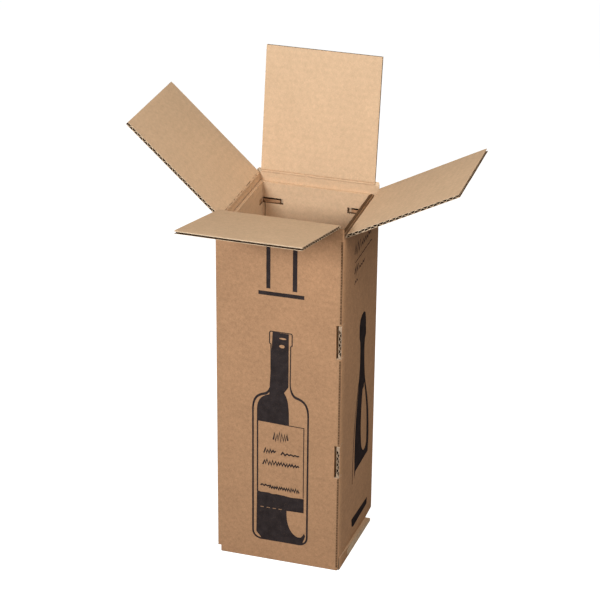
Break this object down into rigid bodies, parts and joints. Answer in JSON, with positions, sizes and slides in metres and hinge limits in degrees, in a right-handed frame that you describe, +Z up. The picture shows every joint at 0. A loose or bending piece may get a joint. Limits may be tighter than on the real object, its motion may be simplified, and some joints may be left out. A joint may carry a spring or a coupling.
{
  "type": "bottle shipping box",
  "caption": "Tall square corrugated box for one bottle, standing open, with hinged top flaps, a closed bottom and a board liner sleeve inside.",
  "frame": {"origin": "middle of the box's bottom, on the surface that it stands on", "axes": "+X to the right along the front wall, +Y from the front wall to the back wall, +Z up"},
  "size_m": [0.3082, 0.2495, 0.4713],
  "materials": {
    "carton_board": "matte",
    "liner_board": "matte"
  },
  "bodies": {
    "carton": {"carton_body": "carton_board", "bottle_liner": "liner_board"},
    "right_flap": {"right_flap": "carton_board"},
    "left_flap": {"left_flap": "carton_board"},
    "back_flap": {"back_flap": "carton_board"},
    "front_flap": {"front_flap": "carton_board"}
  },
  "joints": [
    {"name": "right_flap_fold", "type": "hinge", "parent": "carton", "child": "right_flap", "pos_m": [0.06, 0, 0.3454], "axis": [0, 1, 0], "range_deg": [-152.1, 107.9]},
    {"name": "left_flap_fold", "type": "hinge", "parent": "carton", "child": "left_flap", "pos_m": [-0.06, 0, 0.3498], "axis": [0, -1, 0], "range_deg": [-137.2, 122.8]},
    {"name": "back_flap_fold", "type": "hinge", "parent": "carton", "child": "back_flap", "pos_m": [0, 0.061, 0.3536], "axis": [-1, 0, 0], "range_deg": [-98, 162]},
    {"name": "front_flap_fold", "type": "hinge", "parent": "carton", "child": "front_flap", "pos_m": [0, -0.061, 0.3569], "axis": [1, 0, 0], "range_deg": [-167, 93]}
  ]
}
